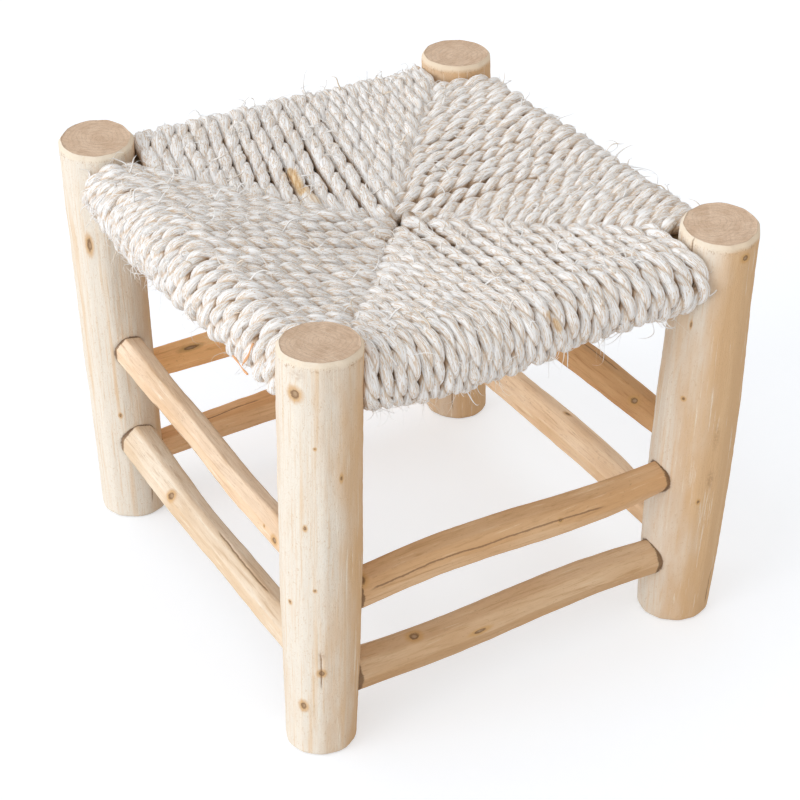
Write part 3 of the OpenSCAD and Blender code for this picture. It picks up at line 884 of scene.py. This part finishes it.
# Half an outline of the rope: angle from the crown of a strand, closer together at its creases
LOBE = np.radians([-90, -80, -68, -54, -37, -18, 0, 18, 37, 54, 68, 80])
OUTLINE = np.concatenate([LOBE, LOBE + np.pi])
CROWNS = [6, 18]
STRAND_OUT, STRAND_THICK = 0.41, 0.59  # as shares of the rope's radius
STRAND_WIDE = [0.69, 0.88, 0.69, 0.71]
WAIST = 0.40  # smallest radius between the strands, a share as well
FIBRE_TURN = 0.72  # share of the strands' twist that the fibres undo, so they run almost straight


def outline_radius(wide):
    """Distance from the rope's middle to its surface around the two oval strands."""
    c = np.abs(np.cos(OUTLINE))
    s = np.sin(OUTLINE)
    a = c ** 2 / STRAND_THICK ** 2 + s ** 2 / wide ** 2
    b = 2 * STRAND_OUT * c / STRAND_THICK ** 2
    k = STRAND_OUT ** 2 / STRAND_THICK ** 2 - 1
    outline = (b + np.sqrt(b ** 2 - 4 * a * k)) / (2 * a)
    return (outline ** 4 + WAIST ** 4) ** 0.25


OUTLINE_R = [outline_radius(wide) for wide in STRAND_WIDE]
# Straw-coloured leaves of the rope: start, end, half width and strength
STRAWS = [((-41, 77, 293), (-47, 49, 292), 4.2, 1.0), ((-42, 50, 291), (-44, 33, 290), 3.8, 0.6),
          ((4, -180, 293), (8, -185, 284), 2.8, 0.9), ((92.5, -185, 283.5), (93, -185, 282), 1.8, 0.9)]


class Rope:
    """Two-strand rope laid along routes; it keeps its surface points for the loose fibres."""

    def __init__(self):
        self.used = 0.0
        self.roots = []

    def lay(self, skin, s, route, lateral, spacing, thick, seed, wild=1.0, ring_step=RING_STEP):
        """Adds one stretch of rope along a route (outward, up) in the frame of side s.

        Its thickness follows the spacing to its neighbours, and it is pressed flat between them.
        """
        steps = np.hypot(*np.diff(route, axis=0).T)
        run = np.concatenate([[0], np.cumsum(steps)])
        n = max(4, int(run[-1] / ring_step))
        at = np.linspace(0, run[-1], n)
        x, z, lateral, spacing = (np.interp(at, run, v) for v in (*route.T, lateral, spacing))
        radius = (thick * np.sqrt(spacing / LAYER))[:, None]
        room = (spacing / 2 + 0.6)[:, None]
        calm = smooth(at, 0, 12) * smooth(run[-1] - at, 0, 12)
        side_step = calm * wild * (1.2 * wander(at, 33, seed) + 0.7 * wander(at, 12, seed + 1))
        lift = wild * (0.85 * wander(at, 21, seed + 2) + 0.4 * wander(at, 8, seed + 7))
        out, lat = side_vectors(s)
        line = x[:, None] * out + (lateral + side_step)[:, None] * lat + np.array([0, 0, SEAT_H])
        line[:, 2] += z
        tangent, normal, lat_now = line_frame(line, lat)
        line += lift[:, None] * normal
        pitch = PITCH[s] + (ROLL_PITCH[s] - PITCH[s]) * smooth(x, rail_at(s) - 15, rail_at(s) + 8)
        pitch = pitch * (1 + 0.3 * wander(at, 37, seed + 3))
        twist = HANDED[s] * np.cumsum(TAU / pitch) * (at[1] - at[0]) + TAU * lattice(seed, 7, 1, 3)
        ring_angle = twist[:, None] + OUTLINE[None, :]
        which = np.repeat([0.0, 1.0], len(LOBE))[None, :]
        puff = 1 + 0.06 * wander(at, 24, seed + 4)[:, None]
        puff = puff + 0.16 * noise(at[:, None] / 12, which * 5, 0.5, seed + 5)
        size = radius * puff * OUTLINE_R[s][None, :]
        turned = OUTLINE[None, :] + FIBRE_TURN * twist[:, None]
        along = (at + self.used)[:, None] + 0 * turned
        fibre = np.stack([*polar(radius, turned), along], -1)
        size = size + 0.42 * noise(fibre[..., 0] / 2.1, fibre[..., 1] / 2.1, along / 10, 11)
        up_part, side_part = polar(size, ring_angle)
        side_part = side_part / (1 + (np.abs(side_part) / room) ** 6) ** (1 / 6)
        rings = line[:, None] + up_part[..., None] * normal[:, None] \
            + side_part[..., None] * lat_now[:, None]
        # Where the surface dips between the two strands, and the rope's inner side facing its rail:
        # both get painted shade
        crease = (1 - OUTLINE_R[s])[None, :] * 1.7 + 0 * along
        deep = smooth(up_part / radius, -0.5, 0.15)
        # How near a point is to the ends of this stretch, where it dives under other ropes, for
        # painted shade there
        ends = smooth(at, 9, 2)[:, None] + smooth(run[-1] - at, 9, 2)[:, None]
        strand = np.stack([*polar(radius, OUTLINE), along], -1)
        skin.add(rings, strand=strand, fibre=fibre, crease=crease, deep=deep, straw=straw_at(rings),
                 dusk=np.clip(ends + 0 * along, 0, 1))
        outward = np.cos(ring_angle)[..., None] * normal[:, None] \
            + np.sin(ring_angle)[..., None] * lat_now[:, None]
        self.roots.append(np.concatenate([rings[:, CROWNS], outward[:, CROWNS],
                                          np.repeat(tangent[:, None], 2, axis=1)], -1).reshape(-1, 9))
        self.used += run[-1] + 50


def line_frame(line, lat):
    """Unit vectors along a line: ahead, away from the seat's middle and to the side."""
    tangent = unit(np.gradient(line, axis=0))
    normal = unit(np.cross(lat, tangent))
    return tangent, normal, np.cross(tangent, normal)


def straw_at(points):
    """How straw-coloured the rope is at points of its surface."""
    straw = np.zeros(points.shape[:-1])
    for first, last, half_wide, strength in STRAWS:
        away = to_segment(points, np.array(first, float), np.array(last, float))
        straw = np.maximum(straw, strength * smooth(away, half_wide * 1.2, half_wide * 0.8))
    return straw


def to_segment(points, first, last):
    """Distance of points from the straight line between two others."""
    span = last - first
    share = np.clip((points - first) @ span / (span @ span), 0, 1)
    return np.linalg.norm(points - first - share[..., None] * span, axis=-1)


def side_vectors(s):
    """Outward and lateral directions of side s."""
    a = s * math.pi / 2
    return np.array([math.cos(a), math.sin(a), 0]), np.array([-math.sin(a), math.cos(a), 0])


def corner_weave(rope, a, b, node, material):
    """All rounds of one corner: over a and under it, then over b and under it."""
    side_a = 1 if (b - a) % 4 == 1 else -1
    skins = {a: Skin(), b: Skin()}
    for i in range(ROUNDS):
        from_middle = 1 - (i + 0.5) / ROUNDS
        crowded = from_middle ** SEAM_CROWD
        thinning = min(SEAM_WIDEST, SEAM_CROWD * from_middle ** (SEAM_CROWD - 1))
        shift_x, shift_y = (np.interp(from_middle, [0, 0.5, 1], v) for v in zip(*SEAM_SHIFT[node]))
        shift = np.array([shift_x, shift_y, 0])
        hug = HUG[i] if i < len(HUG) else 0
        for s, other, sign, turn in ((a, b, side_a, first_turn), (b, a, -side_a, second_turn)):
            out, lat = side_vectors(s)
            x_top, x_under = reach(s) * crowded + shift @ out, place(s, i)
            at_under = sign * place(other, i)
            at_seam = sign * reach(other) * crowded + shift @ lat
            at_rail = at_under + RAIL_SHIFT[s] * (1 - from_middle)
            route = turn(s, x_top, x_under, looseness(s, at_rail))
            above, below = slant(s, route, x_top, x_under)
            lateral = at_rail + (at_seam - at_rail) * above + (at_under - at_rail) * below
            lateral += sign * hug * around_post(s, route)
            even = reach(other) / ROUNDS
            on_rail = even - sign * RAIL_SHIFT[s] / ROUNDS
            spacing = on_rail + (even * thinning - on_rail) * above + (even - on_rail) * below
            at_end = smooth(route[:, 0], x_top + FULLER_TO, x_top + FULLER_FROM) * (route[:, 1] > 0)
            spacing = spacing + 2 * hug + SEAM_FULLER * at_end
            seed = 1000 + 100 * a + 10 * b + 977 * i + 50 * (s == b)
            rope.lay(skins[s], s, route, lateral, spacing, ROPE_THICK[s], seed, WILD[s])
    for s, skin in skins.items():
        skin.build(f"rope_{node}_over_{SIDE_NAMES[s]}", material, "seat_rope", f"weave_{node}")


def inner_runs(rope, s, name, material):
    """The hidden runs beside side s and the side opposite, between the woven layers."""
    skin = Skin()
    across = (s + 1) % 4
    for i in range(ROUNDS):
        half = place(across, i) - ROPE_R - ROPE_GAP
        if half <= ROPE_R:
            continue
        z = (top_at(s, place(s, i)) - TURN_R) / 2
        for side in (s, (s + 2) % 4):
            route = line_points((-half, z), (half, z))
            lateral = np.full(len(route), -place(side, i))
            spacing = np.full(len(route), LAYER)
            seed = 5000 + 60 * i + side
            rope.lay(skin, (side + 1) % 4, route, lateral, spacing, ROPE_R, seed, ring_step=INNER_STEP)
    skin.build(name, material, "seat_rope", f"weave_{name}")


# ---- loose fibres


def past_rails(point):
    """How far points lie outside the middle of the nearest rail."""
    return np.maximum(np.abs(point[:, 0]) - FRAME_W / 2, np.abs(point[:, 1]) - FRAME_D / 2)


def on_top(point, outward):
    """Where the rope's surface looks up, on the seat."""
    return (outward[:, 2] > 0.35) & (point[:, 2] > SEAT_H + 6)


def on_rolls(point, outward):
    """Anywhere on the outer side of the rolls over the rails."""
    return (past_rails(point) > 3) & (np.abs(point[:, 2] - SEAT_H) < 32)


def below_rolls(point, outward):
    """Where the rope's surface looks down, under the rolls."""
    return (past_rails(point) > -4) & (outward[:, 2] < -0.4) & (point[:, 2] < SEAT_H - 15)


# Each lot of loose fibres: where, how many, length, radius, how far they rise, curl, hang and stray
FIBRES = {
    "fuzz_top": (on_top, 1800, (2.5, 9), (0.12, 0.26), (0.1, 0.3), 1.2, 0.0, 0.55),
    "fuzz_rolls": (on_rolls, 1800, (2.5, 9), (0.12, 0.26), (0.1, 0.3), 1.2, 0.0, 0.55),
    "fibres_top": (on_top, 560, (8, 24), (0.45, 0.85), (0.14, 0.38), 2.4, 0.0, 0.7),
    "fibres_rolls": (on_rolls, 420, (8, 22), (0.4, 0.75), (0.12, 0.32), 2.4, 0.15, 0.7),
    "fibres_hanging": (below_rolls, 240, (6, 20), (0.12, 0.3), (0.2, 0.6), 1.5, 0.6, 0.55),
}
FIBRE_REACH = 11  # how far a loose fibre may stand out of the part's own box
FIBRE_POINTS = 10  # along each fibre
FIBRE_FLAT = 0.35  # its thickness, as a share of its width
TILT = np.array([0.031, 0.052, 0.079])  # gives a fibre that stands straight up a side as well


def stays_clear(line):
    """Which fibres end outside the posts and stay near the part's own box."""
    low, high = (np.array(corner) / MM for corner in cad_box)
    inside = ((line > low - FIBRE_REACH) & (line < high + FIBRE_REACH)).all(axis=(0, 2))
    from_posts = np.linalg.norm(line[-1][:, None, :2] - POST_SPOTS, axis=-1).min(axis=1)
    return inside & (from_posts > POST_R + 1)


def loose_fibres(rope, material, name, keep, count, length, thick, rise, curl, droop, stray):
    """Thin curled fibres that stand off the rope where keep(points, outward) allows."""
    roots = np.concatenate(rope.roots)
    able = roots[keep(roots[:, 0:3], roots[:, 3:6])]
    tried = 2 * count  # more than needed, because some don't stay clear
    chosen = able[draw.choice(len(able), tried)]
    point, outward, tangent = chosen[:, 0:3], chosen[:, 3:6], chosen[:, 6:9]
    beside = np.cross(outward, tangent)
    size = draw.uniform(*length, tried)
    share = np.linspace(0, 1, FIBRE_POINTS)[:, None]
    heading = draw.choice([0, np.pi], tried) + draw.normal(0, stray, tried)
    heading = heading + draw.normal(0, curl, tried) * share
    heading = heading + 0.35 * np.sin(share * draw.uniform(4, 11, tried))
    forth = np.cumsum(np.cos(heading), axis=0) / FIBRE_POINTS * size
    aside = np.cumsum(np.sin(heading), axis=0) / FIBRE_POINTS * size
    height = size * draw.uniform(*rise, tried) * np.sin(share * draw.uniform(1.5, 3.3, tried)) - 0.25
    line = point + forth[..., None] * tangent + aside[..., None] * beside + height[..., None] * outward
    line[..., 2] -= droop * size * share ** 2
    picked = np.flatnonzero(stays_clear(line))[:count]
    line = line[:, picked]
    ahead = unit(np.gradient(line, axis=0))
    one = unit(np.cross(ahead, outward[picked] + TILT))
    two = np.cross(ahead, one)
    roll = draw.uniform(-1.3, 1.3, (1, len(picked), 1))
    one, two = one * np.cos(roll) + two * np.sin(roll), two * np.cos(roll) - one * np.sin(roll)
    width = draw.uniform(*thick, (1, len(picked))) * (1.05 - share ** 1.5)
    tone = draw.uniform(0, 1, len(picked)) ** 2.5
    skin = Skin()
    turns = (np.arange(3) * TAU / 3)[None, :, None]
    for k in range(len(picked)):
        around = np.cos(turns) * one[:, k, None] + FIBRE_FLAT * np.sin(turns) * two[:, k, None]
        rings = line[:, k, None] + around * width[:, k, None, None]
        skin.add(rings, tone=np.full(rings.shape[:2], tone[k]), strand=rings + 40.0 * k)
    skin.build(name, material, "seat_rope")


# Two orange sticks caught in the rope: start, end and radius
TWIGS = [((-173.5, -95, 273), (-173, -114, 269), 0.75), ((-170.5, -118, 292), (-174, -109, 273), 0.85)]


def twigs(material):
    """The sticks, slightly crooked and uneven."""
    skin = Skin()
    turns = np.arange(8) * TAU / 8
    share = np.linspace(0, 1, 14)[:, None]
    for k, (first, last, radius) in enumerate(TWIGS):
        first, last = np.array(first), np.array(last)
        line = first + share * (last - first) + 0.5 * np.sin(share * 7 + k) * np.array([0.3, 1, 0.4])
        ahead = unit(last - first)
        one = np.cross(ahead, (1, 0, 0))
        two = np.cross(ahead, one)
        thick = radius * (0.75 + 0.3 * np.sin(share * 9 + 2 * k))
        around = np.cos(turns)[:, None] * one + np.sin(turns)[:, None] * two
        rings = line[:, None] + thick[..., None] * around
        skin.add(rings, tone=np.full(rings.shape[:2], 1.0), strand=rings)
    skin.build("twigs", material, "seat_rope")


# ---- stage

# The photo's camera, in metres: place, and its right, up and backward directions
CAMERA_AT = (-0.65861, -1.10525, 0.94830)
CAMERA_TURNED = [(0.859855, -0.510518, 0.004606), (0.271335, 0.464609, 0.842921),
                 (-0.432466, -0.723540, 0.538018)]
SENSOR, LENS, LENS_SHIFT = 36, 95.38, (0.002444, 0.009094)


def add_camera():
    """The camera of the photo."""
    data = bpy.data.cameras.new("camera")
    data.sensor_width = SENSOR
    data.lens = LENS
    data.shift_x, data.shift_y = LENS_SHIFT
    camera = add_to_scene("camera", data)
    turned = Matrix(CAMERA_TURNED).transposed().to_4x4()
    camera.matrix_world = Matrix.Translation(CAMERA_AT) @ turned
    bpy.context.scene.camera = camera


WORLD_LEFT, WORLD_RIGHT = (0.95, 0.95, 0.955), (0.655, 0.635, 0.612)  # even light from each side
SUN_FROM = (-0.962, -0.03, 0.27)
SUN_LIGHT = 0.49 * math.pi
SUN_COLOUR = (0.98, 1.0, 1.03)
SUN_WIDTH = math.radians(45)
FLOOR_HALF = 4.0  # in metres
FLOOR_WHITE = 0.85  # what the floor reflects onto the stool
FLOOR_SEEN, FLOOR_GLOW = (0.60, 0.637, 0.685), 0.48  # its colour in the picture, and added light


def add_light():
    """A wide soft light from the left, in a room that the camera sees as white."""
    data = bpy.data.lights.new("window_light", "SUN")
    data.energy = SUN_LIGHT
    data.angle = SUN_WIDTH
    data.color = SUN_COLOUR
    lamp = add_to_scene("window_light", data)
    lamp.rotation_euler = Vector(SUN_FROM).to_track_quat("Z", "Y").to_euler()
    world = bpy.data.worlds.new("studio")
    world.use_nodes = True
    n = Nodes(world.node_tree)
    x = n.node("SeparateXYZ", {0: n.node("TexCoord", {}, "Generated")}, "X")
    room = n.mix(n.node("MapRange", {"Value": x, "From Min": -1}), WORLD_LEFT, WORLD_RIGHT)
    seen = n.mix(n.node("LightPath", {}, "Is Camera Ray"), room, (1, 1, 1))
    n.tree.links.new(seen, n.tree.nodes["Background"].inputs["Color"])
    bpy.context.scene.world = world


def add_floor():
    """White paper, kept just bright enough in the picture to show soft shadows alone."""
    mesh = bpy.data.meshes.new("floor")
    corners = [(-1, -1), (1, -1), (1, 1), (-1, 1)]
    mesh.from_pydata([(FLOOR_HALF * x, FLOOR_HALF * y, 0) for x, y in corners], [], [(0, 1, 2, 3)])
    material = bpy.data.materials.new("floor")
    material.use_nodes = True
    n = Nodes(material.node_tree)
    n.tree.nodes.remove(n.tree.nodes["Principled BSDF"])
    seen = n.node("LightPath", {}, "Is Camera Ray")
    paper = n.node("BsdfDiffuse", {"Color": n.mix(seen, (FLOOR_WHITE,) * 3, FLOOR_SEEN)})
    glow = n.node("Emission", {"Strength": n.times(seen, FLOOR_GLOW)})
    both = n.node("AddShader", {0: paper, 1: glow})
    n.tree.links.new(both, n.tree.nodes["Material Output"].inputs["Surface"])
    mesh.materials.append(material)
    floor = add_to_scene("floor", mesh)


# ---- the stool

post_wood = post_finish()
for p in range(4):
    log_post(p, post_wood)

stretcher_wood = stretcher_finish()
for number, (name, bar) in enumerate(STRETCHERS.items()):
    branch(name, bar, 300 + 17 * number, stretcher_wood)

rail_wood = rail_finish()
for side in SIDE_NAMES:
    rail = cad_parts[f"seat_rail_{side}"]
    rail.data.materials.clear()
    rail.data.materials.append(rail_wood)

seat_rope = rope_finish()
rope = Rope()
for node, a, b in (("front_left", FRONT, LEFT), ("front_right", RIGHT, FRONT),
                   ("back_right", BACK, RIGHT), ("back_left", LEFT, BACK)):
    corner_weave(rope, a, b, node, seat_rope)
hidden_rope = Rope()  # apart, because no loose fibres grow on it
inner_runs(hidden_rope, FRONT, "runs_across", seat_rope)
inner_runs(hidden_rope, RIGHT, "runs_lengthwise", seat_rope)

loose_fibre = fuzz_finish("loose_fibre", LOOSE_PALE, LOOSE_DARK)
twigs(fuzz_finish("orange_stick", STICK_PALE, STICK_DARK))
for name, lot in FIBRES.items():
    loose_fibres(rope, loose_fibre, name, *lot)

add_floor()
add_camera()
add_light()
bpy.context.scene.view_settings.view_transform = "Standard"
